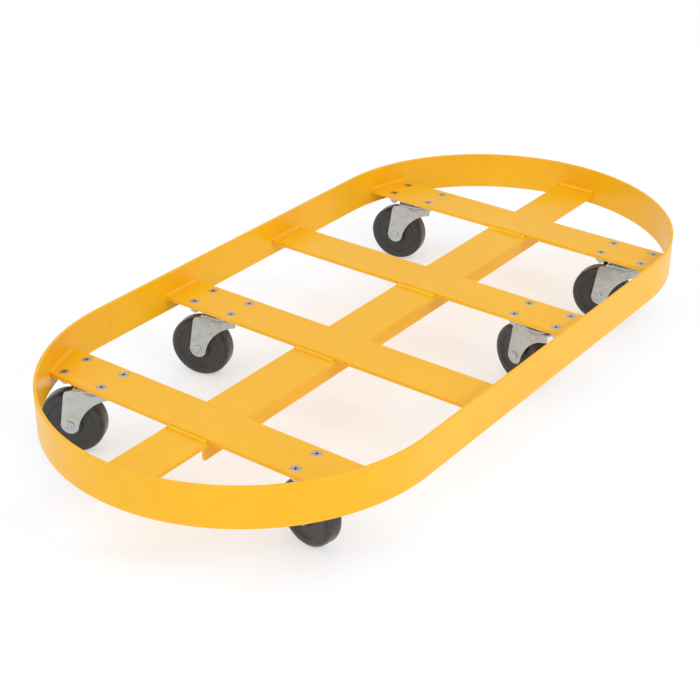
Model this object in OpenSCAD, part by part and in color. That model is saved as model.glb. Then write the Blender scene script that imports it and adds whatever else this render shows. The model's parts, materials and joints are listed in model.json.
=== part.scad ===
// Two-drum dolly: a race-track ring of flat bar on edge, four flat cross bars welded
// inside it, one flat spine bar under them with a rib on edge, and six swivel casters.
// Origin: on the floor, under the middle of the ring. +X runs along the ring's length,
// +Y across it and +Z up.

/* [Ring] */
// Overall width of the ring, outside to outside
ring_w = 614; // [600:1:640]
// Distance between the centres of the two end arcs
arc_spacing = 660; // [640:5:700]
// Height of the flat bar the ring is bent from
ring_h = 65; // [60:0.5:76]
// Thickness of the flat bar the ring is bent from
ring_t = 4.8; // [4:0.1:6.4]
// Distance from the middle of the ring to each seam weld
seam_x = 307; // [250:1:318]
// Depth from the ring's top rim down to the drum seat
lip_h = 37.5; // [30:0.5:45]

/* [Bars] */
// Width of the cross bars and of the spine bar
bar_w = 76; // [70:1:90]
// Thickness of the cross bars, the spine bar and the rib
bar_t = 6.4; // [5:0.1:8]
// Distance from the middle of the row of cross bars to an outer one
outer_bar_x = 424; // [400:1:440]
// Distance from the middle of the row of cross bars to an inner one
inner_bar_x = 136; // [110:1:180]
// How far the row of cross bars sits towards the front of the ring
bar_shift = 7; // [0:1:12]
// Height of the rib below the spine bar
rib_h = 30.5; // [20:0.5:34]
// Distance from the spine's centreline to the rib's outer face
rib_y = 26; // [10:0.5:34]
// Length of the rib
rib_l = 910; // [860:5:940]

/* [Casters] */
// Overall height of a caster, floor to mounting face
caster_h = 127; // [125:0.5:130]
// Distance from the spine's centreline to each swivel axis
swivel_y = 216.5; // [205:0.5:220]
// Distance from the swivel axis back to the wheel's axle
trail = 37; // [33:0.5:39]
// Length of the top plate, across the dolly
plate_l = 95; // [92:1:98]
// Width of the top plate
plate_w = 66; // [62:1:68]
// Thickness of the top plate and of the fork's sheet
sheet_t = 3; // [2.5:0.1:3.4]
// Screw spacing across the dolly
screw_pitch_y = 76; // [72:0.5:78]
// Screw spacing along the dolly
screw_pitch_x = 46; // [44:0.5:47]
// Radius of the fork's round crown
crown_r = 28; // [27:0.5:29]
// Radius of the rounded end of each fork leg
leg_end_r = 14; // [12:0.5:15]

/* [Wheels] */
// Radius of the wheel
wheel_r = 50.8; // [48:0.1:51.5]
// Width of the tread, shoulder to shoulder
wheel_w = 30; // [26:0.5:31]
// Radius of the tread's rounded shoulders
shoulder_r = 8; // [5:0.5:10]
// Radius of the axle
axle_r = 4.75; // [4:0.05:5.5]
// Outside radius of the bush the wheel turns on
bush_r = 8; // [7.5:0.1:9]

/* [Fasteners and welds] */
// Radius of the countersunk screw heads
screw_head_r = 7.6; // [7:0.1:8]
// Radius of the screw shanks
screw_r = 3.9; // [3.5:0.1:4]
// Leg length of the fillet welds
fillet = 4.5; // [3:0.5:5]
// Depth of the rebate in a cross bar's ends that its weld bead fills
weld_prep = 1.2; // [0.6:0.1:2]

/* [Hidden] */
$fn = 96;
eps = 0.01;

// Running clearance between a shaft and its hole, and the air gap between moving bodies
run_gap = 0.05;
air_gap = 0.4;

// Heights above the floor
seat_z = caster_h + bar_t;
rim_z = seat_z + lip_h;
ring_z = rim_z - ring_h;
spine_z = caster_h - bar_t;

// Plan sizes
outer_r = ring_w / 2;
inner_r = outer_r - ring_t;
arc_x = arc_spacing / 2;
edge_break = 0.7;
bar_x = [for (x = [-outer_bar_x, -inner_bar_x, inner_bar_x, outer_bar_x]) x - bar_shift];

// Caster heights: a ball race sits between the plate's pressed boss and the fork's crown
plate_z = caster_h - sheet_t;
boss_drop = 3;
boss_r = 26;
boss_flare = 2;
crown_drop = 8.2;
crown_z = caster_h - crown_drop;
crown_t = 6.8;
crown_web_z = crown_z - crown_t;
race_r = 17;
ball_r = 2.4;
ball_z = (plate_z - boss_drop + crown_z) / 2;
ball_count = 16;
king_r = 5.5;
king_head_r = 10;
king_head_sink = 1.6;
leg_gap = wheel_w / 2 + 2;
axle_head_r = 7;
axle_head_t = 2.2;
nut_af = 12.7;
nut_h = 6.5;
screw_end = 3;
countersink_h = 3.8;
head_land = 0.4;

// How far a cutting shape runs past the face that it cuts
over = 1;

// Side outline of the fork, in y (backwards from the swivel axis) and height above the
// crown's web: the front edge sweeps down from the first point, bending at the next two,
// and the corner points round off the top of the upright rear edge
front_r = 35;
front_sweep = [[-front_r - 1, -10], [-5, -12.5], [17, -38]];
rear_corner = [[43.5, -11], [42, -6.5], [38.5, -3.5], [31, -1.5]];

// One row for each caster: cross bar, side (+1 is +Y), and the angle it stands at
CASTERS = [
    [0, 1, 26],
    [0, -1, -10],
    [1, 1, 16],
    [2, -1, -15],
    [3, 1, 11],
    [3, -1, 12],
];

// ---- Helpers ----------------------------------------------------------------------

// A rectangle from the origin with its four corners broken by a small flat
module broken_rect(w, h) {
    c = edge_break;
    polygon([[c, 0], [w - c, 0], [w, c], [w, h - c], [w - c, h], [c, h], [0, h - c], [0, c]]);
}

// A flat bar lying along X, from x = 0, centred on Y, its underside at z = 0
module flat_bar_x(len, w, t) {
    rotate([90, 0, 90])
        linear_extrude(len)
            translate([-w / 2, 0])
                broken_rect(w, t);
}

// The space inside the ring, as a solid from z0 up to z1, kept inset from the wall
module ring_interior(z0, z1, inset = 0) {
    translate([0, 0, z0])
        linear_extrude(z1 - z0)
            union() {
                square([arc_spacing, 2 * (inner_r - inset)], center = true);
                for (x = [-arc_x, arc_x])
                    translate([x, 0])
                        circle(inner_r - inset);
            }
}

// Puts its children on one caster's mount, with z still measured from the floor
module at_caster(c) {
    translate([bar_x[c[0]], c[1] * swivel_y, 0])
        children();
}

// The same, turned to the angle that the fork stands at
module at_fork(c) {
    at_caster(c)
        rotate([0, 0, c[2]])
            children();
}

// The same again, with local Z along the axle and the origin at the wheel's middle
module at_axle(c) {
    at_fork(c)
        translate([0, trail, wheel_r])
            rotate([0, 90, 0])
                children();
}

// Puts its children at each of a caster's four screws
module at_screws() {
    for (x = [-1, 1])
        for (y = [-1, 1])
            translate([x * screw_pitch_x / 2, y * screw_pitch_y / 2, 0])
                children();
}

// ---- Ring -------------------------------------------------------------------------

// One straight length of the ring's wall on the +Y side, from x = 0 to x = len
module wall(len) {
    translate([0, inner_r, ring_z])
        rotate([90, 0, 90])
            linear_extrude(len)
                broken_rect(ring_t, ring_h);
}

// The end arc at +X, with a short straight lead-out up to each seam
module end_arc() {
    translate([arc_x, 0, ring_z])
        rotate([0, 0, -90])
            rotate_extrude(angle = 180)
                translate([inner_r, 0])
                    broken_rect(ring_t, ring_h);
    for (s = [0, 1])
        mirror([0, s, 0])
            translate([seam_x, 0, 0])
                wall(arc_x - seam_x + eps);
}

module ring_rear_arc() {
    color("#f5ba28")
        end_arc();
}

module ring_front_arc() {
    color("#f5ba28")
        mirror([1, 0, 0])
            end_arc();
}

module ring_left_side() {
    color("#f5ba28")
        translate([-seam_x, 0, 0])
            wall(2 * seam_x);
}

module ring_right_side() {
    color("#f5ba28")
        mirror([0, 1, 0])
            translate([-seam_x, 0, 0])
                wall(2 * seam_x);
}

// ---- Bars -------------------------------------------------------------------------

// Clearance hole and countersink for one screw, in a bar whose top is at seat_z
module screw_hole() {
    slack = 0.2;
    translate([0, 0, caster_h - over])
        cylinder(h = bar_t + 2 * over, r = screw_r + slack);
    translate([0, 0, seat_z - head_land - countersink_h])
        cylinder(h = countersink_h, r1 = screw_r + slack, r2 = screw_head_r + slack);
    translate([0, 0, seat_z - head_land - eps])
        cylinder(h = head_land + over, r = screw_head_r + slack);
}

// Cross bar i, its ends cut to the ring, drilled for whichever casters it carries
module crossbar(i) {
    color("#f2b93b")
        difference() {
            intersection() {
                translate([bar_x[i], -outer_r, caster_h])
                    rotate([0, 0, 90])
                        flat_bar_x(ring_w, bar_w, bar_t);
                union() {
                    ring_interior(caster_h - over, seat_z - weld_prep);
                    ring_interior(seat_z - weld_prep - eps, seat_z + over, fillet);
                }
            }
            for (c = CASTERS)
                if (c[0] == i)
                    at_caster(c)
                        at_screws()
                            screw_hole();
        }
}

module spine_bar() {
    color("#f2b93b")
        intersection() {
            translate([-arc_x - outer_r, 0, spine_z])
                flat_bar_x(arc_spacing + ring_w, bar_w, bar_t);
            ring_interior(spine_z - over, caster_h + over);
        }
}

module spine_rib() {
    color("#e2a528")
        translate([-rib_l / 2 - bar_shift, bar_t / 2 - rib_y, spine_z - rib_h])
            flat_bar_x(rib_l, bar_t, rib_h);
}

// ---- Welds ------------------------------------------------------------------------

// Bead over each seam: a low vertical bead inside the wall and a short one over the rim
module ring_seam_welds() {
    bead_r = 2.4;
    proud = 0.9;
    end_margin = 2;
    color("#f5ba28")
        for (x = [-seam_x, seam_x])
            for (s = [0, 1])
                mirror([0, s, 0]) {
                    intersection() {
                        translate([x, inner_r + bead_r - proud, ring_z + end_margin])
                            cylinder(h = ring_h - 2 * end_margin, r = bead_r);
                        translate([x - bead_r, inner_r - bead_r, ring_z])
                            cube([2 * bead_r, bead_r, ring_h]);
                    }
                    intersection() {
                        translate([x, inner_r + edge_break, rim_z - bead_r + proud])
                            rotate([-90, 0, 0])
                                cylinder(h = ring_t - 2 * edge_break, r = bead_r);
                        translate([x - bead_r, inner_r, rim_z])
                            cube([2 * bead_r, ring_t, bead_r]);
                    }
                }
}

// Section of a fillet weld in the corner between a wall at x = 0 and a face at y = 0,
// with the part of it that fills a rebate below the face
module fillet_section(rebate = 0) {
    intersection() {
        translate([-fillet, 0])
            square(fillet);
        circle(fillet);
    }
    if (rebate > 0)
        translate([-fillet, -rebate])
            square([fillet, rebate + eps]);
}

// Fillet in the corner between the end of a bar and the ring, for a bar at -x or +x.
// up is 1 on the bar's top face, which has the rebate, and -1 on its underside
module end_fillet(x, half_w, z, up) {
    rebate = up > 0 ? weld_prep : 0;
    translate([0, 0, z])
        mirror([0, 0, up > 0 ? 0 : 1])
            if (abs(x) > arc_x) {
                // Outside the tangent point the corner follows the arc
                near = acos((abs(x) - half_w - arc_x) / inner_r);
                far = acos((abs(x) + half_w - arc_x) / inner_r);
                mirror([x > 0 ? 0 : 1, 0, 0])
                    translate([arc_x, 0, 0])
                        rotate([0, 0, far])
                            rotate_extrude(angle = near - far)
                                translate([inner_r, 0])
                                    fillet_section(rebate);
            } else {
                translate([x - half_w, inner_r, 0])
                    rotate([90, 0, 90])
                        linear_extrude(2 * half_w)
                            fillet_section(rebate);
            }
}

module crossbar_end_welds() {
    color("#f5ba28")
        for (x = bar_x)
            for (s = [0, 1])
                mirror([0, s, 0]) {
                    end_fillet(x, bar_w / 2, seat_z, 1);
                    end_fillet(x, bar_w / 2, caster_h, -1);
                }
}

// Fillets along both edges of every cross bar where it lies on the spine bar, and
// at the spine bar's two ends
module spine_welds() {
    end_margin = 2;
    weld_l = bar_w - 2 * end_margin;
    end_a = asin(weld_l / 2 / inner_r);
    color("#f5ba28") {
        for (x = bar_x)
            for (s = [0, 1])
                translate([x, 0, caster_h])
                    mirror([s, 0, 0])
                        translate([-bar_w / 2, weld_l / 2, 0])
                            rotate([90, 0, 0])
                                linear_extrude(weld_l)
                                    fillet_section();
        for (s = [0, 1])
            mirror([s, 0, 0])
                translate([arc_x, 0, caster_h])
                    rotate([0, 0, -end_a])
                        rotate_extrude(angle = 2 * end_a)
                            translate([inner_r, 0])
                                fillet_section();
    }
}

// Short stitches in the corner between the rib and the underside of the spine bar
module rib_stitch_welds() {
    stitch_l = 38;
    stitch_pitch = 142;
    color("#e2a528")
        for (k = [-3 : 3])
            for (s = [0, 1])
                translate([k * stitch_pitch - bar_shift - stitch_l / 2, bar_t / 2 - rib_y, spine_z])
                    mirror([0, s, 0])
                        translate([0, -bar_t / 2, 0])
                            mirror([0, 0, 1])
                                rotate([90, 0, 90])
                                    linear_extrude(stitch_l)
                                        fillet_section();
}

// ---- Fasteners --------------------------------------------------------------------

// One countersunk screw with a cross recess, its head flush with the drum seat
module screw() {
    recess_w = 1.7;
    recess_l = 8;
    recess_h = 2.4;
    recess_turn = 30;
    head_chamfer = 0.5;
    shank_z = plate_z - nut_h - screw_end;
    difference() {
        union() {
            translate([0, 0, shank_z])
                cylinder(h = seat_z - shank_z - countersink_h / 2, r = screw_r);
            translate([0, 0, seat_z - head_land - countersink_h])
                cylinder(h = countersink_h, r1 = screw_r, r2 = screw_head_r);
            translate([0, 0, seat_z - head_land - eps])
                cylinder(h = head_land, r1 = screw_head_r, r2 = screw_head_r - head_chamfer);
        }
        for (a = [0, 90])
            rotate([0, 0, a + recess_turn])
                translate([-recess_l / 2, -recess_w / 2, seat_z - recess_h])
                    cube([recess_l, recess_w, recess_h + over]);
    }
}

module caster_screws() {
    color("#c9c9c4")
        for (c = CASTERS)
            at_caster(c)
                at_screws()
                    screw();
}

// Hexagon nuts with their corners chamfered, tight under the top plates
module caster_nuts() {
    corner_r = nut_af / 2 / cos(30);
    chamfer_r = corner_r - 1;
    chamfer_rise = 0.6;
    color("#c9c9c4")
        for (c = CASTERS)
            at_caster(c)
                at_screws()
                    translate([0, 0, plate_z - nut_h])
                        difference() {
                            intersection() {
                                cylinder(h = nut_h, r = corner_r, $fn = 6);
                                cylinder(h = nut_h, r1 = chamfer_r, r2 = chamfer_r + nut_h / chamfer_rise);
                            }
                            translate([0, 0, -over])
                                cylinder(h = nut_h + 2 * over, r = screw_r + run_gap);
                        }
}

// ---- Casters ----------------------------------------------------------------------

// Torus groove that the balls run in
module race_groove() {
    ball_gap = 0.15;
    translate([0, 0, ball_z])
        rotate_extrude()
            translate([race_r, 0])
                circle(ball_r + ball_gap);
}

// Pressed top plate: rounded corners, a boss on its underside, four screw holes
module top_plate(c) {
    corner_r = 7;
    hole_slack = 0.3;
    color("#c4c5bf")
        at_caster(c)
            difference() {
                union() {
                    translate([0, 0, plate_z])
                        linear_extrude(sheet_t)
                            union() {
                                square([plate_w - 2 * corner_r, plate_l], center = true);
                                square([plate_w, plate_l - 2 * corner_r], center = true);
                                for (x = [-1, 1])
                                    for (y = [-1, 1])
                                        translate([x * (plate_w / 2 - corner_r), y * (plate_l / 2 - corner_r)])
                                            circle(corner_r);
                            }
                    translate([0, 0, plate_z - boss_drop])
                        cylinder(h = boss_drop + eps, r1 = boss_r, r2 = boss_r + boss_flare);
                }
                at_screws()
                    translate([0, 0, plate_z - over])
                        cylinder(h = sheet_t + 2 * over, r = screw_r + hole_slack);
                race_groove();
                translate([0, 0, plate_z - boss_drop - over])
                    cylinder(h = sheet_t + boss_drop + 2 * over, r = king_r);
                translate([0, 0, caster_h - king_head_sink])
                    cylinder(h = king_head_sink + over, r = king_head_r);
            }
}

// Riveted king pin: a flush head in the plate, and a formed head under the crown
module king_pin(c) {
    foot_taper = 1.2;
    foot_rim = 2.2;
    flush_gap = 0.2;
    foot_z = crown_web_z - air_gap - foot_taper - foot_rim;
    color("#b9bab4")
        at_caster(c)
            union() {
                translate([0, 0, foot_z + foot_taper])
                    cylinder(h = caster_h - flush_gap - foot_z - foot_taper, r = king_r);
                translate([0, 0, caster_h - king_head_sink])
                    cylinder(h = king_head_sink - flush_gap, r = king_head_r);
                translate([0, 0, foot_z])
                    cylinder(h = foot_taper, r1 = king_head_r - 2 * foot_taper, r2 = king_head_r);
                translate([0, 0, foot_z + foot_taper - eps])
                    cylinder(h = foot_rim, r = king_head_r);
            }
}

module ball_race(c) {
    color("#8f9090")
        at_caster(c)
            for (k = [0 : ball_count - 1])
                rotate([0, 0, 360 * k / ball_count])
                    translate([race_r, 0, ball_z])
                        sphere(ball_r, $fn = 32);
}

// Point t along the fork's front edge, from 0 under the crown to 1 beside the axle
function front_edge(t) =
    let (
        u = 1 - t,
        web = [0, crown_web_z],
        foot = [trail - leg_end_r, wheel_r]
    )
    u * u * u * (front_sweep[0] + web) + 3 * u * u * t * (front_sweep[1] + web)
        + 3 * u * t * t * (front_sweep[2] + web) + t * t * t * foot;

// Side outline of the fork, in y and z, with a round foot about the axle
module fork_side() {
    steps = 14;
    top = crown_web_z + sheet_t;
    polygon(concat(
        [for (k = [0 : steps]) front_edge(k / steps)],
        [[trail + leg_end_r, wheel_r]],
        [for (p = rear_corner) [p[0], crown_web_z + p[1]]],
        [[crown_r - 2, top], [-front_r - 1, top]]
    ));
    translate([trail, wheel_r])
        circle(leg_end_r);
}

// Cross-section of the fork, in x and z: a channel with rounded shoulders
module fork_channel() {
    outer_x = leg_gap + sheet_t;
    outer_bend = 6;
    top = crown_web_z + sheet_t;
    difference() {
        union() {
            translate([-outer_x, 0])
                square([2 * outer_x, top - outer_bend]);
            translate([-outer_x + outer_bend, 0])
                square([2 * (outer_x - outer_bend), top]);
            for (s = [-1, 1])
                translate([s * (outer_x - outer_bend), top - outer_bend])
                    circle(outer_bend);
        }
        union() {
            translate([-leg_gap, -over])
                square([2 * leg_gap, top - outer_bend + over]);
            translate([-outer_x + outer_bend, -over])
                square([2 * (outer_x - outer_bend), top - sheet_t + over]);
            for (s = [-1, 1])
                translate([s * (outer_x - outer_bend), top - outer_bend])
                    circle(outer_bend - sheet_t);
        }
    }
}

// Pressed fork: two legs and a web in one sheet, its front rounded in plan, with the
// round crown and its race on top
module fork(c) {
    reach = 80;
    color("#c4c5bf")
        at_fork(c)
            difference() {
                union() {
                    intersection() {
                        translate([-reach, 0, 0])
                            rotate([90, 0, 90])
                                linear_extrude(2 * reach)
                                    fork_side();
                        translate([0, reach, 0])
                            rotate([90, 0, 0])
                                linear_extrude(2 * reach)
                                    fork_channel();
                        linear_extrude(caster_h)
                            union() {
                                circle(front_r);
                                translate([-front_r, 0])
                                    square([2 * front_r, reach]);
                            }
                    }
                    crown();
                }
                race_groove();
                translate([0, 0, crown_web_z - over])
                    cylinder(h = crown_t + 2 * over, r = king_r + run_gap);
                for (s = [0, 1])
                    mirror([s, 0, 0])
                        translate([leg_gap - over, trail, wheel_r])
                            rotate([0, 90, 0])
                                cylinder(h = sheet_t + 2 * over, r = axle_r + run_gap);
            }
}

// Round crown of the fork: a turned section with a full outer edge, on a flared cup
// that spreads from the legs out to it
module crown() {
    step_h = 0.8;
    lip_r = crown_t / 2 - step_h;
    lip_x = crown_r - lip_r;
    cup_h = 8;
    cup_r = leg_gap + sheet_t;
    cup_t = 2.4;
    rotate_extrude()
        union() {
            polygon([
                [cup_r - cup_t, crown_web_z - cup_h],
                [cup_r, crown_web_z - cup_h],
                [lip_x + 1, crown_web_z + step_h],
                [lip_x - cup_t, crown_web_z + step_h],
            ]);
            translate([king_r - over, crown_web_z])
                square([lip_x - king_r + over, crown_t]);
            translate([lip_x, crown_web_z + crown_t / 2])
                circle(lip_r);
            translate([lip_x - lip_r, crown_web_z + step_h])
                square([lip_r, 2 * lip_r]);
        }
}

// Axle: a plain rod with a low formed head, dimpled by its rivet set, outside each leg
module axle(c) {
    end_x = leg_gap + sheet_t;
    head_chamfer = 1.6;
    dimple_r = 3.6;
    dimple_t = 1;
    color("#bdbeb8")
        at_axle(c)
            difference() {
                union() {
                    translate([0, 0, -end_x])
                        cylinder(h = 2 * end_x, r = axle_r);
                    for (s = [0, 1])
                        mirror([0, 0, s]) {
                            translate([0, 0, end_x])
                                cylinder(h = axle_head_t / 2, r = axle_head_r);
                            translate([0, 0, end_x + axle_head_t / 2 - eps])
                                cylinder(h = axle_head_t / 2, r1 = axle_head_r, r2 = axle_head_r - head_chamfer);
                        }
                }
                for (s = [0, 1])
                    mirror([0, 0, s])
                        translate([0, 0, end_x + axle_head_t - dimple_t])
                            cylinder(h = dimple_t + over, r1 = dimple_r - dimple_t, r2 = dimple_r + over);
            }
}

// Tube between the legs that the wheel turns on
module bush(c) {
    color("#9d9e98")
        at_axle(c)
            difference() {
                cylinder(h = 2 * leg_gap, r = bush_r, center = true);
                cylinder(h = 2 * (leg_gap + over), r = axle_r + run_gap, center = true);
            }
}

// Half section of the wheel, radius along x and the wheel's width along y
module wheel_section() {
    half_w = wheel_w / 2;
    hub_r = 17;
    dish_r = 36;
    dish = 2.2;
    union() {
        // Hub
        translate([bush_r + run_gap, -leg_gap + air_gap])
            square([hub_r - bush_r, 2 * (leg_gap - air_gap)]);
        // Dished web
        translate([hub_r - over, -half_w + dish])
            square([dish_r - hub_r + 2 * over, wheel_w - 2 * dish]);
        // Rim with round shoulders
        translate([dish_r, -half_w])
            square([wheel_r - shoulder_r - dish_r, wheel_w]);
        translate([wheel_r - shoulder_r - over, -half_w + shoulder_r])
            square([shoulder_r + over, wheel_w - 2 * shoulder_r]);
        for (s = [-1, 1])
            translate([wheel_r - shoulder_r, s * (half_w - shoulder_r)])
                circle(shoulder_r);
    }
}

module wheel(c) {
    color("#3b3634")
        at_axle(c)
            rotate_extrude()
                wheel_section();
}

// ---- The parts --------------------------------------------------------------------

ring_front_arc();
ring_rear_arc();
ring_left_side();
ring_right_side();
crossbar(0);  // crossbar_1
crossbar(1);  // crossbar_2
crossbar(2);  // crossbar_3
crossbar(3);  // crossbar_4
spine_bar();
spine_rib();
ring_seam_welds();
crossbar_end_welds();
spine_welds();
rib_stitch_welds();
caster_screws();
caster_nuts();

top_plate(CASTERS[0]);  // top_plate_1
king_pin(CASTERS[0]);  // king_pin_1
ball_race(CASTERS[0]);  // ball_race_1
fork(CASTERS[0]);  // fork_1
axle(CASTERS[0]);  // axle_1
bush(CASTERS[0]);  // bush_1
wheel(CASTERS[0]);  // wheel_1

top_plate(CASTERS[1]);  // top_plate_2
king_pin(CASTERS[1]);  // king_pin_2
ball_race(CASTERS[1]);  // ball_race_2
fork(CASTERS[1]);  // fork_2
axle(CASTERS[1]);  // axle_2
bush(CASTERS[1]);  // bush_2
wheel(CASTERS[1]);  // wheel_2

top_plate(CASTERS[2]);  // top_plate_3
king_pin(CASTERS[2]);  // king_pin_3
ball_race(CASTERS[2]);  // ball_race_3
fork(CASTERS[2]);  // fork_3
axle(CASTERS[2]);  // axle_3
bush(CASTERS[2]);  // bush_3
wheel(CASTERS[2]);  // wheel_3

top_plate(CASTERS[3]);  // top_plate_4
king_pin(CASTERS[3]);  // king_pin_4
ball_race(CASTERS[3]);  // ball_race_4
fork(CASTERS[3]);  // fork_4
axle(CASTERS[3]);  // axle_4
bush(CASTERS[3]);  // bush_4
wheel(CASTERS[3]);  // wheel_4

top_plate(CASTERS[4]);  // top_plate_5
king_pin(CASTERS[4]);  // king_pin_5
ball_race(CASTERS[4]);  // ball_race_5
fork(CASTERS[4]);  // fork_5
axle(CASTERS[4]);  // axle_5
bush(CASTERS[4]);  // bush_5
wheel(CASTERS[4]);  // wheel_5

top_plate(CASTERS[5]);  // top_plate_6
king_pin(CASTERS[5]);  // king_pin_6
ball_race(CASTERS[5]);  // ball_race_6
fork(CASTERS[5]);  // fork_6
axle(CASTERS[5]);  // axle_6
bush(CASTERS[5]);  // bush_6
wheel(CASTERS[5]);  // wheel_6
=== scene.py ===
# %% [markdown]
# # A two-drum dolly in painted steel
#
# This lesson dresses a drum dolly: a race-track ring of flat steel bar, bars welded across
# it, and six swivel casters. The shapes that carry load come ready-made from the packed
# model, which loads below and never moves. What is left for Blender is what a welder, a
# painter and a moulder leave behind: rippled beads, thick gloss enamel, zinc plating and
# turned rubber wheels.

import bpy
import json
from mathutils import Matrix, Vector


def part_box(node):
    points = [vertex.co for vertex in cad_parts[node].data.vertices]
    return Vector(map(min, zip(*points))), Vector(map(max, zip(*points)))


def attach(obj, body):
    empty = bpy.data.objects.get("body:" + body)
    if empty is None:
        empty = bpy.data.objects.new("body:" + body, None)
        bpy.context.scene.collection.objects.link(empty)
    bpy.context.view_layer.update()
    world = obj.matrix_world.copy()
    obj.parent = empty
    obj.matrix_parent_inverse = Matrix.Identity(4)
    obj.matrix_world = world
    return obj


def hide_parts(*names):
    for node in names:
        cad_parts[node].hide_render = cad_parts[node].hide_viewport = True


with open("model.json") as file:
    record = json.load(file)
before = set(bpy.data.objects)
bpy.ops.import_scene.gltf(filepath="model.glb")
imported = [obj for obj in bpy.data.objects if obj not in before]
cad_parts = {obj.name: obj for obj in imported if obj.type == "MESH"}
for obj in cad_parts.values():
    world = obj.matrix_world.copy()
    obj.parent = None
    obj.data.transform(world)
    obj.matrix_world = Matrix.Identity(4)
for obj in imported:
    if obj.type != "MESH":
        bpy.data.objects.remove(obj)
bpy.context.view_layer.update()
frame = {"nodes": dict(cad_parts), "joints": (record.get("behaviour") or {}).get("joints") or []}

# %% [markdown]
# Blender counts in metres and a workshop in millimetres, so lengths below are written as a
# number times MM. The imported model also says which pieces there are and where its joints
# turn, and those two tables are looked up again and again.

# %% Shared modules and units
import json
import math
import random

import bmesh
import bpy
from mathutils import Matrix, Vector

MM = 0.001
UP = Vector((0, 0, 1))
NODES = frame["nodes"]
JOINTS = {joint["name"]: joint for joint in frame["joints"]}
CASTERS = range(1, 7)

# %% [markdown]
# ## Sizes, read off the model
#
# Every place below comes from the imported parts, so a change to the design carries through.
# The welds only need the wall's two faces, the seat that the drums stand on and the faces
# of the bars.

# %% Read the sizes
side_low, side_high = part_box("ring_left_side")
wall_inner = side_low.y
wall_outer = side_high.y
wall_top = side_high.z
wall_bottom = side_low.z
seam_x = side_high.x
arc_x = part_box("ring_rear_arc")[1].x - wall_outer
bars = [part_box(f"crossbar_{k}") for k in range(1, 5)]
spine_low, spine_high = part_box("spine_bar")
rib_low, rib_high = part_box("spine_rib")
seat_z = bars[0][1].z
bar_under_z = bars[0][0].z
print(f"wall {wall_inner:.4f} to {wall_outer:.4f}, seat {seat_z:.4f}, arcs at {arc_x:.3f}")

# %% [markdown]
# ## Camera
#
# The camera comes first, because everything else is judged through it. A long lens from a
# little above keeps the far end of the ring almost as wide as the near end, which is how a
# catalogue shows a long, low object. The camera sits on a line from its aim point, so three
# angles and a distance are all it takes.

# %% Camera
CAMERA_AZIMUTH = math.radians(-53.78)
CAMERA_ELEVATION = math.radians(28.68)
CAMERA_ROLL = math.radians(0.39)
CAMERA_DISTANCE = 2.453
CAMERA_LENS = 78.58
CAMERA_AIM = Vector((-0.0477, 0.0311, 0.0657))


def line_of_sight(azimuth, elevation):
    """From the aim point towards the camera: azimuth 0 looks along +Y."""
    flat = math.cos(elevation)
    return Vector((math.sin(azimuth) * flat, -math.cos(azimuth) * flat, math.sin(elevation)))


back = line_of_sight(CAMERA_AZIMUTH, CAMERA_ELEVATION)
camera = bpy.data.objects.new("camera", bpy.data.cameras.new("camera"))
bpy.context.scene.collection.objects.link(camera)
camera.data.lens = CAMERA_LENS
camera.data.clip_start = 0.1
camera.data.clip_end = 50
camera.location = CAMERA_AIM + back * CAMERA_DISTANCE
camera.rotation_mode = "QUATERNION"
level = (-back).to_track_quat("-Z", "Y").to_matrix()
camera.rotation_quaternion = (level @ Matrix.Rotation(CAMERA_ROLL, 3, "Z")).to_quaternion()
bpy.context.scene.camera = camera
print("camera at", [round(c, 3) for c in camera.location])

# %% [markdown]
# ## A class for shader maths
#
# Node trees are easier to read as sums than as boxes and wires. The class below wraps one
# socket, and each operator on it adds the Math node that works it out, so `1 - mask` is a
# node too. Everything that isn't arithmetic comes from one method, `node`, which sets the
# node's settings before its sockets, because some settings decide which sockets there are.

# %% Flow: a socket that can be written in an expression
class Flow:
    """A value, colour or vector that leaves one socket."""

    def __init__(self, tree, socket=None):
        self.tree = tree
        self.socket = socket

    def node(self, kind, settings=None, sockets=None, out=0):
        """One new node: its settings, then a value or a Flow for each of its sockets."""
        made = self.tree.nodes.new("ShaderNode" + kind)
        for name, value in (settings or {}).items():
            if name == "stops":
                fill_ramp(made.color_ramp, value)
            else:
                setattr(made, name, value)
        for name, value in (sockets or {}).items():
            if isinstance(value, Flow):
                self.tree.links.new(value.socket, made.inputs[name])
            else:
                made.inputs[name].default_value = value
        return Flow(self.tree, made.outputs[out])

    def maths(self, operation, *values):
        """A Math node on the values, in the order that its sockets take them."""
        return self.node("Math", {"operation": operation}, dict(enumerate(values)))

    def __add__(self, other):
        return self.maths("ADD", self, other)

    def __radd__(self, other):
        return self.maths("ADD", other, self)

    def __sub__(self, other):
        return self.maths("SUBTRACT", self, other)

    def __rsub__(self, other):
        return self.maths("SUBTRACT", other, self)

    def __mul__(self, other):
        return self.maths("MULTIPLY", self, other)

    def __rmul__(self, other):
        return self.maths("MULTIPLY", other, self)

    def sine(self):
        """The sine of a value in radians, which swings between -1 and 1."""
        return self.maths("SINE", self)

    def step(self, low, high):
        """0 below low, 1 above high and a smooth ramp between them."""
        ends = {"Value": self, "From Min": low, "From Max": high}
        return self.node("MapRange", {"interpolation_type": "SMOOTHSTEP"}, ends)

    def stretched(self, scale):
        """A vector, multiplied axis by axis."""
        return self.node("VectorMath", {"operation": "MULTIPLY"}, {0: self, 1: scale})

    def noise(self, scale, detail=3.0, roughness=0.5, distortion=0.0):
        """Fractal noise from 0 to 1 at this place, scale being cells per metre."""
        sockets = {"Vector": self, "Scale": scale, "Detail": detail}
        sockets |= {"Roughness": roughness, "Distortion": distortion}
        return self.node("TexNoise", {"noise_dimensions": "3D"}, sockets)

    def blend(self, under, over):
        """A colour: under where this value is 0, and over where it is 1."""
        return self.node("Mix", {"data_type": "RGBA"}, {0: self, 6: under, 7: over}, out=2)


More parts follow.
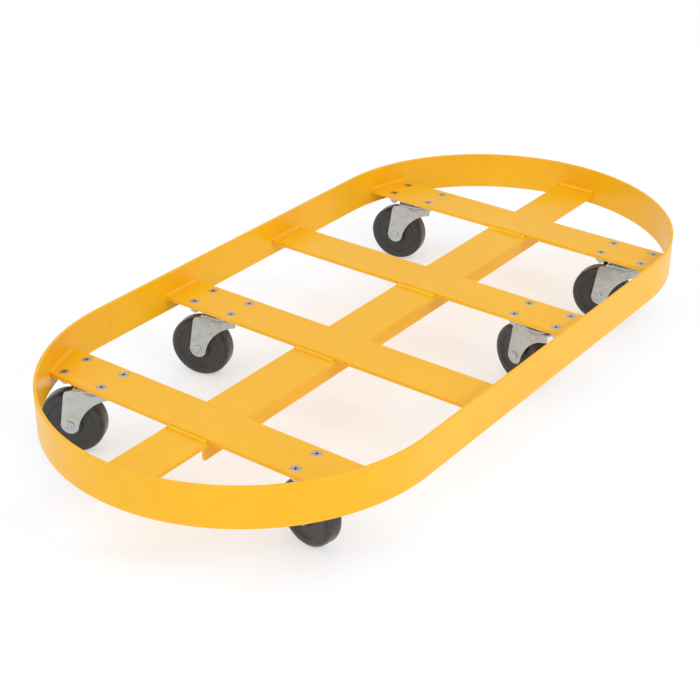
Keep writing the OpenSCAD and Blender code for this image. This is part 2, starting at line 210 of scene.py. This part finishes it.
def fill_ramp(ramp, stops):
    """Sets a colour ramp's stops from a list of (position, colour)."""
    while len(ramp.elements) < len(stops):
        ramp.elements.new(1.0)
    for element, (position, colour) in zip(ramp.elements, stops):
        element.position = position
        element.color = colour


print("Flow is ready: +, - and * now add Math nodes")

# %% [markdown]
# ## Starting and finishing a material
#
# Colours are easiest to judge as they look on a screen, but a shader wants them in linear
# light, so one helper converts them. A second starts each finish: a Principled shader, the
# constants that never vary set on its own sockets, and the place on the object as a Flow.

# %% Helpers that start and finish a material
def screen(red, green, blue):
    """A colour given as it shows on screen, 0 to 255, turned into linear light."""
    parts = [c / 255 for c in (red, green, blue)]
    linear = [c / 12.92 if c <= 0.04045 else ((c + 0.055) / 1.055) ** 2.4 for c in parts]
    return (*linear, 1.0)


def start_finish(name, constants):
    """A new material with its constants set; returns it, its shader and the place."""
    finish = bpy.data.materials.new(name)
    finish.use_nodes = True
    shader = finish.node_tree.nodes["Principled BSDF"]
    for socket, value in constants.items():
        shader.inputs[socket].default_value = value
    place = Flow(finish.node_tree).node("TexCoord", out="Object")
    return finish, shader, place


def connect(shader, **flows):
    """Feeds the shader's varying sockets; names use underscores for spaces."""
    for name, flow in flows.items():
        flow.tree.links.new(flow.socket, shader.inputs[name.replace("_", " ")])


def bump(height, distance, strength=1.0, under=None):
    """A bump of this many metres from a 0 to 1 height, on top of another if one is given."""
    sockets = {"Height": height, "Distance": distance, "Strength": strength}
    if under is not None:
        sockets["Normal"] = under
    return height.node("Bump", None, sockets)


print("a mid grey on screen is", [round(part, 3) for part in screen(128, 128, 128)[:3]], "in light")

# %% [markdown]
# ## Finding edges and gaps
#
# Edges are painted brighter, which is a painted highlight (on the enamel also pooled paint),
# and gaps are painted darker, which is a painted shade. Both could be painted by hand, but
# two nodes find them on any shape. The Bevel node gives the normal that a rounded edge would
# have, so where it parts from the true normal there is an edge. The Ambient Occlusion node
# says how much of the sky a spot sees, which is little in a gap.

# %% Edges and crevices
FINDER_SAMPLES = 6


def edge_highlight_mask(place, radius):
    """About 0 on flat metal and up to 1 on outside and inside corners of this radius."""
    rounded = place.node("Bevel", {"samples": FINDER_SAMPLES}, {"Radius": radius})
    flat = place.node("NewGeometry", out="Normal")
    both = {0: rounded, 1: flat}
    same = place.node("VectorMath", {"operation": "DOT_PRODUCT"}, both, out="Value")
    return (1 - same).step(0.01, 0.16)


def crevice(place, reach):
    """0 on open metal and up to 1 deep in gaps narrower than about this reach."""
    settings = {"samples": FINDER_SAMPLES}
    open_sky = place.node("AmbientOcclusion", settings, {"Distance": reach}, out="AO")
    return (1 - open_sky).step(0.25, 0.85)


print("edges and crevices are found with", FINDER_SAMPLES, "samples")

# %% [markdown]
# ## Yellow enamel
#
# The dolly is sprayed with one thick coat of gloss machinery enamel, then baked. Edges
# and inside corners are painted brighter: partly paint that pools thicker there, partly a
# painted highlight. A sprayed coat also has orange peel, a shallow dimpling a couple of
# millimetres across, which breaks up reflections. The peel, the dust specks and the long
# scuffs from the drums come from noise on the object's own coordinates, so they stay put on
# the metal from every side. Noise scales are in cells per metre: 5 makes patches about 20 cm
# across.

# %% Yellow enamel
PAINT_DRIFT = 5.0
PAINT_CLOUDS = 38.0
PAINT_SCUFFS = 60.0
ORANGE_PEEL = 430.0
PAINT_SPECKS = 1900.0
PAINT_EDGE = 1.6 * MM


def enamel(name, deep, light, peel, grit):
    """Gloss paint that drifts between two yellows.

    peel and grit are the depths of its waves and its specks, in millimetres.
    """
    constants = {"Coat Roughness": 0.12, "Coat IOR": 1.5, "Specular IOR Level": 0.32}
    finish, shader, place = start_finish(name, constants)
    drift = place.noise(PAINT_DRIFT, 4.0)
    cloud = place.noise(PAINT_CLOUDS, 3.0).step(0.35, 0.7)
    edges = edge_highlight_mask(place, PAINT_EDGE)
    colour = drift.step(0.3, 0.7).blend(deep, light)
    colour = (cloud * 0.35).blend(colour, screen(243, 177, 10))
    # Edges and inside corners are painted brighter: pooled paint and a painted highlight.
    colour = (edges * 0.7).blend(colour, screen(255, 198, 16))
    scuffs = place.stretched((1, 9, 9)).noise(PAINT_SCUFFS, 5.0, 0.7, 0.4).step(0.63, 0.7)
    colour = (scuffs * 0.18).blend(colour, screen(214, 160, 60))
    waves = place.noise(ORANGE_PEEL, 2.0)
    specks = place.noise(PAINT_SPECKS, 1.0).step(0.6, 0.8)
    relief = bump(specks, grit * MM, 0.5, under=bump(waves, peel * MM, 0.6))
    connect(
        shader,
        Base_Color=colour,
        Roughness=0.3 + 0.1 * drift + 0.18 * scuffs,
        Coat_Weight=0.1 - 0.08 * scuffs,
        Normal=relief,
    )
    return finish


PAINT = enamel(
    "yellow_enamel", screen(246, 182, 12), screen(249, 188, 20), peel=0.05, grit=0.02
)
# A brighter copy of the enamel for the open beads, which is a painted highlight.
HIGHLIT_WELD_PAINT = enamel(
    "yellow_enamel_with_painted_highlight", screen(252, 192, 8), screen(255, 200, 14), peel=0.1, grit=0.05
)
print("painted:", PAINT.name, HIGHLIT_WELD_PAINT.name)

# %% [markdown]
# ## Zinc plating
#
# The caster plates and forks are pressed from sheet and zinc plated. Fresh zinc is a pale
# warm grey with a faint oily rainbow from its passivation, here a slow drift between
# straw, rose and grey. Pressing leaves fine drawing lines, and handling leaves duller
# patches, so roughness varies more than colour does. Edges are painted lighter, a painted
# highlight, and the gaps between plate and fork are painted darker, a painted shade.

# %% Zinc plating
ZINC_DRIFT = 55.0
ZINC_DULL = 80.0
DRAWING_LINES = 500.0
ZINC_EDGE = 0.9 * MM
GAP_SHADE_REACH = 7 * MM


def plated(name, pale, straw, rose, rough, lines):
    """Plated steel; lines is the depth in millimetres of its fine drawing marks."""
    constants = {"Metallic": 0.92, "Specular IOR Level": 0.5}
    finish, shader, place = start_finish(name, constants)
    drift = place.noise(ZINC_DRIFT, 3.0, 0.6, 1.2)
    hue = drift.node("ValToRGB", {"stops": [
        (0.30, straw), (0.45, pale), (0.58, pale), (0.72, rose),
    ]}, {"Fac": drift})
    dull = place.noise(ZINC_DULL, 2.0, 0.5).step(0.4, 0.75)
    edges = edge_highlight_mask(place, ZINC_EDGE)
    colour = (dull * 0.25).blend(hue, screen(150, 150, 143))
    # Edges are painted lighter, which is a painted highlight.
    colour = (edges * 0.45).blend(colour, screen(226, 226, 220))
    # Painted shade: the gaps turn dark where the Ambient Occlusion node sees little sky.
    painted_gap_shade = crevice(place, GAP_SHADE_REACH)
    colour = (painted_gap_shade * 0.8).blend(colour, screen(52, 47, 40))
    drawn = place.stretched((1, 1, 14)).noise(DRAWING_LINES, 3.0, 0.6)
    connect(
        shader,
        Base_Color=colour,
        Roughness=rough + 0.16 * dull - 0.06 * edges + 0.2 * painted_gap_shade,
        Normal=bump(drawn, lines * MM, 0.35),
    )
    return finish


ZINC = plated(
    "zinc_plate", pale=screen(188, 191, 186), straw=screen(191, 189, 174),
    rose=screen(186, 183, 188), rough=0.2, lines=0.012,
)
BRIGHT_ZINC = plated(
    "bright_zinc", pale=screen(186, 190, 198), straw=screen(192, 190, 180),
    rose=screen(178, 180, 200), rough=0.18, lines=0.015,
)
OILED_STEEL = plated(
    "oiled_steel", pale=screen(150, 150, 148), straw=screen(150, 144, 130),
    rose=screen(140, 138, 140), rough=0.3, lines=0.01,
)
print("plated:", ZINC.name, BRIGHT_ZINC.name, OILED_STEEL.name)

# %% [markdown]
# ## Hard rubber
#
# The wheels are moulded in hard rubber, near black with a brown cast, and their sides are
# skimmed in a lathe. That leaves fine rings round the axle, so the finish works from the
# distance to the axle, which is local Z on every wheel piece. A sine of that distance makes
# the fine rings and a slower one makes broader bands. The tread picks up dust and a few pale
# nicks.

# %% Hard rubber
FINE_RINGS = 1.15 * MM
COARSE_RINGS = 4.8 * MM
RUBBER_WOBBLE = 30.0
RUBBER_MOTTLE = 90.0
TREAD_DUST = 220.0
TREAD_NICKS = 420.0
RUBBER_GRAIN = 1500.0


def hard_rubber(name, tread_radius):
    """Moulded wheel rubber, with its rings centred on the piece's own Z axis."""
    constants = {"Specular IOR Level": 0.6}
    finish, shader, place = start_finish(name, constants)
    flat = place.stretched((1, 1, 0))
    radius = flat.node("VectorMath", {"operation": "LENGTH"}, {0: flat}, out="Value")
    wobbly = radius + place.noise(RUBBER_WOBBLE, 2.0) * (0.4 * MM)
    rings = (wobbly * (2 * math.pi / FINE_RINGS)).sine() * 0.5 + 0.5
    bands = (wobbly * (2 * math.pi / COARSE_RINGS)).sine() * 0.5 + 0.5
    mottle = place.noise(RUBBER_MOTTLE, 4.0, 0.6)
    colour = mottle.step(0.35, 0.65).blend(screen(33, 30, 28), screen(40, 36, 34))
    colour = (bands * 0.3).blend(colour, screen(60, 54, 50))
    colour = (rings * 0.25).blend(colour, screen(28, 26, 25))
    tread = radius.step(tread_radius - 3 * MM, tread_radius - 0.5 * MM)
    dust = tread * place.noise(TREAD_DUST, 5.0, 0.7).step(0.45, 0.75)
    colour = (dust * 0.35).blend(colour, screen(112, 100, 92))
    nicks = place.stretched((1, 1, 3)).noise(TREAD_NICKS, 3.0, 0.8).step(0.7, 0.76)
    colour = (nicks * 0.4).blend(colour, screen(150, 146, 142))
    grain = place.noise(RUBBER_GRAIN, 2.0)
    relief = bump(grain, 0.02 * MM, 0.3, under=bump(rings, 0.09 * MM, 0.8))
    connect(
        shader,
        Base_Color=colour,
        Roughness=0.2 + 0.16 * mottle + 0.15 * dust,
        Normal=relief,
    )
    return finish


def joint_place(name):
    """A joint's point and axis, as vectors."""
    joint = JOINTS[name]
    return Vector(joint["pos_m"]), Vector(joint["axis"]).normalized()


wheel_radius = joint_place("wheel_1_roll")[0].z
RUBBER = hard_rubber("hard_rubber", wheel_radius)
print(f"rubber for wheels of radius {wheel_radius:.4f}")

# %% [markdown]
# ## Dress the ready-made parts
#
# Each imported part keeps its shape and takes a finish. The table below reads like a
# painter's job card: a part's name starts with one of these words.

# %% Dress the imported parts
JOB_CARD = {
    "ring": PAINT,
    "crossbar": PAINT,
    "spine": PAINT,
    "rib": PAINT,
    "caster_screws": BRIGHT_ZINC,
    "caster_nuts": BRIGHT_ZINC,
    "top_plate": ZINC,
    "fork": ZINC,
    "axle": BRIGHT_ZINC,
    "king_pin": OILED_STEEL,
    "ball_race": OILED_STEEL,
    "bush": OILED_STEEL,
    "wheel": RUBBER,
}


def dress(thing, finish):
    """Gives a whole piece one finish."""
    thing.data.materials.clear()
    thing.data.materials.append(finish)


for name, part in NODES.items():
    word = next(word for word in JOB_CARD if name.startswith(word))
    dress(part, JOB_CARD[word])
print("dressed", len(NODES), "packed parts")

# %% [markdown]
# ## Weld beads
#
# A weld bead isn't a smooth fillet. The welder's arc leaves a row of overlapping puddles,
# each frozen a few millimetres after the last, so the bead has scallops along it and a
# rounded start and stop. A sweep makes that easily: walk along the corner in short steps,
# and at each step draw a little arc whose size swells and shrinks with the puddles.

# %% Sweep a mesh through a list of rings
def link_mesh(name, maker):
    """Turns a finished bmesh into an object in the scene."""
    bmesh.ops.recalc_face_normals(maker, faces=maker.faces)
    mesh = bpy.data.meshes.new(name)
    maker.to_mesh(mesh)
    maker.free()
    for face in mesh.polygons:
        face.use_smooth = True
    piece = bpy.data.objects.new(name, mesh)
    bpy.context.scene.collection.objects.link(piece)
    return piece


def skin_rings(maker, rings, closed=False):
    """Adds a skin over rings of points, all as long as each other, and caps the ends."""
    rows = [[maker.verts.new(point) for point in ring] for ring in rings]
    pairs = list(zip(rows, rows[1:] + rows[:1])) if closed else list(zip(rows, rows[1:]))
    for near, far in pairs:
        for k, corner in enumerate(near):
            after = (k + 1) % len(near)
            maker.faces.new((corner, near[after], far[after], far[k]))
    if not closed:
        maker.faces.new(rows[0][::-1])
        maker.faces.new(rows[-1])


print("sweep ready")

# %% [markdown]
# A fillet fills the corner between two faces. At every step it needs three things: the
# corner point and the two directions that lead away from it along the faces. The ends
# swell slightly, where the welder pauses, and then close over. The arc between the two faces
# is drawn with a power of its sine and cosine: 1 makes it round, 2 a flat chamfer, and more
# than 2 hollows it out.

# %% A rippled fillet
PUDDLE = 2.6 * MM
STEP = 0.65 * MM
SINK = 0.4 * MM
ARC_POINTS = 7
WOBBLES = 64
END_ROUND = 2.4 * MM
PAUSE_AT = 4 * MM
PAUSE_LENGTH = 3 * MM
CLOSED_END = 0.04
BLUNT_END = 0.8
PLAIN_POWER = 1.5
FILLED_POWER = 2.7


def bead_size(along, length, wobbles, least=CLOSED_END):
    """How large the bead is at this distance, as a share of its nominal size.

    least is the share that is left at the very ends.
    """
    puddle = along / PUDDLE
    scallop = 1 - (puddle - math.floor(puddle)) ** 2
    wobble = wobbles[int(puddle) % len(wobbles)]
    end = min(along, length - along)
    close = math.sqrt(max(0.0, 1 - max(0.0, 1 - end / END_ROUND) ** 2))
    pause = 0.1 * math.exp(-((end - PAUSE_AT) / PAUSE_LENGTH) ** 2)
    return max(least, close) * (0.86 + 0.1 * scallop + 0.06 * wobble + pause)


def fillet_bead(maker, corner_at, length, leg, rng, groove=None):
    """Adds one bead; corner_at(distance) gives the corner and its two directions.

    groove is the width and depth of a rebate beside the wall that the bead also fills.
    """
    steps = max(8, round(length / STEP))
    wobbles = [rng.uniform(-1, 1) for _ in range(WOBBLES)]
    power = FILLED_POWER if groove else PLAIN_POWER
    rings = []
    for k in range(steps + 1):
        along = length * k / steps
        corner, side_a, side_b = corner_at(along)
        size = leg * bead_size(along, length, wobbles, BLUNT_END if groove else CLOSED_END)
        ring = [corner - (side_a + side_b) * SINK]
        if groove:
            wide, deep = groove
            floor_point = corner - side_b * deep
            ring = [floor_point - side_a * SINK, floor_point + side_a * wide]
        for j in range(ARC_POINTS):
            turn = math.pi / 2 * j / (ARC_POINTS - 1)
            point = side_a * math.cos(turn) ** power + side_b * math.sin(turn) ** power
            ring.append(corner + point * size)
        rings.append(ring)
    skin_rings(maker, rings)


print(f"a puddle every {PUDDLE / MM:.1f} mm, drawn in steps of {STEP / MM:.2f} mm")

# %% [markdown]
# Every corner on this dolly either runs straight or follows the inside of an end arc, so two
# small functions supply all the corners that the beads ask for.

# %% Straight and round corners
def straight(start, stop, side_a, side_b):
    """A corner that runs straight from start to stop."""
    way = (stop - start).normalized()
    return lambda along: (start + way * along, side_a, side_b), (stop - start).length


def round_corner(centre, radius, angle_a, angle_b, up):
    """A corner that follows the inside of an end arc, between two angles."""
    length = radius * abs(angle_b - angle_a)

    def corner_at(along):
        turn = angle_a + (angle_b - angle_a) * along / length
        out = Vector((math.cos(turn), math.sin(turn), 0))
        return centre + out * radius, -out, up

    return corner_at, length


print(f"round corners follow a radius of {wall_inner:.4f}")

# %% [markdown]
# ### Where the bars meet the ring
#
# Each cross bar is welded to the wall at both ends, on top and underneath. The top edge is
# ground back first, so that the drums' chimes clear the weld, and the bead fills that
# rebate. The outer bars end on the arcs, so their beads bend with the wall; the inner bars
# end on the straight sides. One function picks the right corner for either.

# %% Beads at the ends of the cross bars
BEAD_LEG = 5 * MM
END_MARGIN = 3 * MM
FILLED_LEG = 4.8 * MM
FILLED_MARGIN = 0.2 * MM
REBATE = (4.5 * MM, 1.2 * MM)


def bar_end_corner(low_x, high_x, side, z, up):
    """The corner between a bar's end and the wall, on the side +1 or -1 of the ring."""
    end = 1 if low_x + high_x > 0 else -1
    if max(abs(low_x), abs(high_x)) < arc_x:
        start = Vector((low_x, side * wall_inner, z))
        stop = Vector((high_x, side * wall_inner, z))
        return straight(start, stop, Vector((0, -side, 0)), up)
    centre = Vector((end * arc_x, 0, z))
    turns = [
        math.atan2(side * math.sqrt(wall_inner**2 - (x - centre.x) ** 2), x - centre.x)
        for x in (low_x, high_x)
    ]
    return round_corner(centre, wall_inner, *turns, up)


rng = random.Random(7)
maker = bmesh.new()
for low, high in bars:
    for side in (1, -1):
        ends = low.x + FILLED_MARGIN, high.x - FILLED_MARGIN
        fillet_bead(maker, *bar_end_corner(*ends, side, seat_z, UP), FILLED_LEG, rng, REBATE)
        ends = low.x + END_MARGIN, high.x - END_MARGIN
        fillet_bead(maker, *bar_end_corner(*ends, side, bar_under_z, -UP), BEAD_LEG, rng)
end_beads = link_mesh("bar_end_beads", maker)
print("beads at bar ends:", len(end_beads.data.polygons), "faces")

# %% [markdown]
# ### Where the cross bars lie on the spine
#
# The spine bar runs underneath, and a bead along each edge of a cross bar ties the two
# together. The spine's own ends are welded to the arcs.

# %% Beads on the spine
spine_y = spine_high.y - 2 * MM
maker = bmesh.new()
for low, high in bars:
    for x, away in ((low.x, -1), (high.x, 1)):
        start = Vector((x, -spine_y, spine_high.z))
        stop = Vector((x, spine_y, spine_high.z))
        fillet_bead(maker, *straight(start, stop, Vector((away, 0, 0)), UP), BEAD_LEG, rng)
spine_turn = math.asin((spine_high.y - END_MARGIN) / wall_inner)
for end in (1, -1):
    centre = Vector((end * arc_x, 0, spine_high.z))
    middle = 0 if end > 0 else math.pi
    corner = round_corner(centre, wall_inner, middle - spine_turn, middle + spine_turn, UP)
    fillet_bead(maker, *corner, BEAD_LEG, rng)
spine_beads = link_mesh("spine_beads", maker)
print("beads on the spine:", len(spine_beads.data.polygons), "faces")

# %% [markdown]
# ### Where the rib hangs under the spine
#
# The rib only carries short stitches, seven on each side, as one long bead would warp a thin
# bar. They are spread evenly from its middle.

# %% Stitches on the rib
STITCH = 38 * MM
STITCH_PITCH = 142 * MM
STITCHES_EACH_WAY = 3
rib_middle = (rib_low.x + rib_high.x) / 2
maker = bmesh.new()
for k in range(-STITCHES_EACH_WAY, STITCHES_EACH_WAY + 1):
    x = rib_middle + k * STITCH_PITCH
    for y, away in ((rib_low.y, -1), (rib_high.y, 1)):
        start = Vector((x - STITCH / 2, y, spine_low.z))
        stop = Vector((x + STITCH / 2, y, spine_low.z))
        fillet_bead(maker, *straight(start, stop, Vector((0, away, 0)), -UP), BEAD_LEG, rng)
rib_beads = link_mesh("rib_stitches", maker)
print("stitches on the rib:", len(rib_beads.data.polygons), "faces")

# %% [markdown]
# ### Seams in the ring
#
# The ring is four lengths of bar butt-welded end to end and ground flush outside. Inside
# and across the top rim a low bead is left. It is nearly flat, so its section is a shallow
# arch instead of a quarter round.

# %% Seam beads
SEAM_WIDTH = 4.4 * MM
SEAM_PROUD = 0.85 * MM
SEAM_FROM_BELOW = 2 * MM
SEAM_FROM_TOP = 1 * MM
SEAM_FROM_FACE = 0.5 * MM
ARCH_POINTS = 9


def seam_bead(maker, start, stop, out, rng):
    """A low arch swept from start to stop, standing proud in the direction out."""
    way = (stop - start).normalized()
    across = way.cross(out)
    length = (stop - start).length
    steps = round(length / STEP)
    wobbles = [rng.uniform(-1, 1) for _ in range(WOBBLES)]
    rings = []
    for k in range(steps + 1):
        along = length * k / steps
        size = min(1.0, bead_size(along, length, wobbles))
        middle = start + way * along
        ring = []
        for j in range(ARCH_POINTS):
            turn = math.pi * j / (ARCH_POINTS - 1)
            sideways = across * math.cos(turn) * SEAM_WIDTH / 2
            ring.append(middle + (sideways + out * math.sin(turn) * SEAM_PROUD) * size)
        ring.append(middle - out * SINK)
        rings.append(ring)
    skin_rings(maker, rings)


maker = bmesh.new()
for x in (-seam_x, seam_x):
    for side in (1, -1):
        start = Vector((x, side * wall_inner, wall_bottom + SEAM_FROM_BELOW))
        stop = Vector((x, side * wall_inner, wall_top - SEAM_FROM_TOP))
        seam_bead(maker, start, stop, Vector((0, -side, 0)), rng)
        start = Vector((x, side * (wall_inner + SEAM_FROM_FACE), wall_top))
        stop = Vector((x, side * (wall_outer - SEAM_FROM_FACE), wall_top))
        seam_bead(maker, start, stop, UP, rng)
seam_beads = link_mesh("seam_beads", maker)
print("seam beads:", len(seam_beads.data.polygons), "faces")

# %% [markdown]
# The beads are now handed over: each takes its paint, rides on the welded frame and stands
# in for the plain bead of the imported model. The open beads on the spine and the rib take a
# brighter copy of the enamel than those tucked against the wall, which is a painted highlight.

# %% Put the beads in place
for piece, node, finish in (
    (end_beads, "crossbar_end_welds", PAINT),
    (spine_beads, "spine_welds", HIGHLIT_WELD_PAINT),
    (rib_beads, "rib_stitch_welds", HIGHLIT_WELD_PAINT),
    (seam_beads, "ring_seam_welds", PAINT),
):
    dress(piece, finish)
    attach(piece, "frame")
    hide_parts(node)
print("weld beads in place")

# %% [markdown]
# ## Wheels
#
# A lathe job: one profile, spun round the axle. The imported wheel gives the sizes; this one
# adds what the mould and the tool leave, which are a raised hub, a dished web with turned
# rings, a rounded bead at the rim and soft shoulders. Every wheel is built round its own
# local Z axis and then placed on its joint, so the rubber's rings stay centred.

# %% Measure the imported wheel
def wheel_sizes(node, centre, axis):
    """Bore, hub half width and rim half width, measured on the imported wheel."""
    bore, hub, rim = 1.0, 0.0, 0.0
    for vertex in NODES[node].data.vertices:
        offset = vertex.co - centre
        along = abs(offset.dot(axis))
        radius = (offset - axis * offset.dot(axis)).length
        bore = min(bore, radius)
        hub = max(hub, along)
        if radius > 0.7 * wheel_radius:
            rim = max(rim, along)
    return bore, hub, rim


bore, hub_half, rim_half = wheel_sizes("wheel_1", *joint_place("wheel_1_roll"))
print(f"bore {bore:.5f}, hub half width {hub_half:.4f}, rim half width {rim_half:.4f}")

# %% [markdown]
# The profile is easiest as a height for every radius: a hub, a step down to the web, a step
# up to the rim and a round shoulder, with the lathe's rings cut into all but hub and tread.

# %% Height of the wheel's face
HUB_RADIUS = 16.5 * MM
HUB_SLOPE = 2.5 * MM
DISH_RADIUS = 36 * MM
DISH_DEPTH = 2.4 * MM
SHOULDER = 8 * MM
RING_PITCH = 1.7 * MM
RING_DEPTH = 0.16 * MM


def blend_step(value, low, high):
    """Smooth 0 to 1 between low and high."""
    share = min(1.0, max(0.0, (value - low) / (high - low)))
    return share * share * (3 - 2 * share)


def face_height(radius):
    """Half width of the wheel at this radius, rings included."""
    web = rim_half - DISH_DEPTH
    height = hub_half - (hub_half - web) * blend_step(radius, HUB_RADIUS, HUB_RADIUS + HUB_SLOPE)
    height += DISH_DEPTH * blend_step(radius, DISH_RADIUS - 2 * MM, DISH_RADIUS + 1.5 * MM)
    turned = blend_step(radius, HUB_RADIUS + 1 * MM, HUB_RADIUS + 3 * MM)
    ripple = 0.5 - 0.5 * math.cos(2 * math.pi * radius / RING_PITCH)
    if radius > wheel_radius - SHOULDER:
        reach = (radius - (wheel_radius - SHOULDER)) / SHOULDER
        height -= SHOULDER * (1 - math.sqrt(max(0.0, 1 - reach * reach)))
        turned *= 1 - blend_step(reach, 0.1, 0.5)
    return height - RING_DEPTH * ripple * turned


print(f"the face rises to {face_height(wheel_radius - SHOULDER):.4f} where the shoulder starts")

# %% [markdown]
# The outline then walks outwards in fine steps over the rings, and round the shoulder in a
# few equal turns. Its mirror image gives the other face.

# %% Wheel profile
BORE_CHAMFER = 0.6 * MM
FACE_STEP = 0.28 * MM
SHOULDER_STEPS = 8


def wheel_profile():
    """(radius, height) from the bore's middle out over one face to the tread's middle."""
    outline = [(bore, 0.0), (bore, hub_half - BORE_CHAMFER), (bore + BORE_CHAMFER, hub_half)]
    radius = bore + 2 * BORE_CHAMFER
    while radius < wheel_radius - SHOULDER * 0.75:
        outline.append((radius, face_height(radius)))
        radius += FACE_STEP
    base_radius = wheel_radius - SHOULDER
    base_height = rim_half - SHOULDER
    first = math.asin(min(1.0, (radius - base_radius) / SHOULDER))
    for k in range(SHOULDER_STEPS + 1):
        turn = first + (math.pi / 2 - first) * k / SHOULDER_STEPS
        point = (base_radius + SHOULDER * math.sin(turn), base_height + SHOULDER * math.cos(turn))
        outline.append(point)
    outline.append((wheel_radius, 0.0))
    return outline


half = wheel_profile()
profile = half + [(radius, -height) for radius, height in half[-2:0:-1]]
print(len(profile), "points in the wheel's profile")

# %% [markdown]
# All six wheels are the same turning. Each is placed on its own joint, with local Z along
# the axle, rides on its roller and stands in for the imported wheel.

# %% Turn and place the wheels
WHEEL_SEGMENTS = 120


def upright(centre, axis):
    """A placing matrix whose local Z is the axle and whose local X points up."""
    side = UP.cross(axis).normalized()
    turn = Matrix((UP, side, axis)).transposed()
    return Matrix.Translation(centre) @ turn.to_4x4()


def turned_wheel(name):
    """The profile spun round local Z."""
    maker = bmesh.new()
    rings = []
    for k in range(WHEEL_SEGMENTS):
        turn = 2 * math.pi * k / WHEEL_SEGMENTS
        across, up = math.cos(turn), math.sin(turn)
        rings.append([Vector((radius * across, radius * up, height)) for radius, height in profile])
    skin_rings(maker, rings, closed=True)
    return link_mesh(name, maker)


for k in CASTERS:
    piece = turned_wheel(f"rubber_wheel_{k}")
    piece.matrix_world = upright(*joint_place(f"wheel_{k}_roll"))
    dress(piece, RUBBER)
    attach(piece, f"roller_{k}")
    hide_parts(f"wheel_{k}")
print("wheels turned:", len(CASTERS))

# %% [markdown]
# ## Studio
#
# A pale floor, as in a catalogue studio. It glows a little, so that it stays nearly white
# round the dolly but still takes a soft shadow. It is only a stage and stays out of the
# object.

# %% Floor
FLOOR_SIZE = 16.0
FLOOR_CLOUDS = 0.6
maker = bmesh.new()
bmesh.ops.create_grid(maker, x_segments=1, y_segments=1, size=FLOOR_SIZE / 2)
floor = link_mesh("studio_floor", maker)
floor_glow = {"Roughness": 0.9, "Emission Color": (1, 1, 1, 1), "Emission Strength": 0.5}
floor_finish, floor_shader, floor_place = start_finish("studio_floor", floor_glow)
clouds = floor_place.noise(FLOOR_CLOUDS, 2.0)
connect(floor_shader, Base_Color=clouds.blend(screen(188, 191, 196), screen(194, 197, 202)))
dress(floor, floor_finish)
print("floor of", FLOOR_SIZE, "m")

# %% [markdown]
# Most of the light comes evenly from a white world, which is how a light tent works: the
# enamel keeps its colour on every side and the shadows stay faint. Three weak lamps give it
# direction. The key is small, so that it leaves glints on the rubber and the screws, and the
# other two are large and only lift the wall's near faces.

# %% Lights
WORLD_STRENGTH = 0.86


def soft_light(name, azimuth, elevation, distance, size, power):
    """A square light aimed at the middle of the dolly."""
    lamp = bpy.data.lights.new(name, "AREA")
    lamp.shape = "SQUARE"
    lamp.size = size
    lamp.energy = power
    light = bpy.data.objects.new(name, lamp)
    bpy.context.scene.collection.objects.link(light)
    way = line_of_sight(math.radians(azimuth), math.radians(elevation))
    light.location = CAMERA_AIM + way * distance
    light.rotation_mode = "QUATERNION"
    light.rotation_quaternion = (-way).to_track_quat("-Z", "Y")
    print(f"{name}: {power} W from {size} m at {distance} m")


soft_light("key", azimuth=-5, elevation=36, distance=3.4, size=0.4, power=14)
soft_light("front", azimuth=-40, elevation=20, distance=3.6, size=2.8, power=6)
soft_light("fill", azimuth=-95, elevation=50, distance=3.2, size=2.2, power=9)
world = bpy.data.worlds.new("studio")
bpy.context.scene.world = world
world.use_nodes = True
background = world.node_tree.nodes["Background"]
background.inputs["Color"].default_value = (1, 1, 1, 1)
background.inputs["Strength"].default_value = WORLD_STRENGTH
bpy.context.scene.view_settings.view_transform = "Standard"
print("world at", WORLD_STRENGTH)
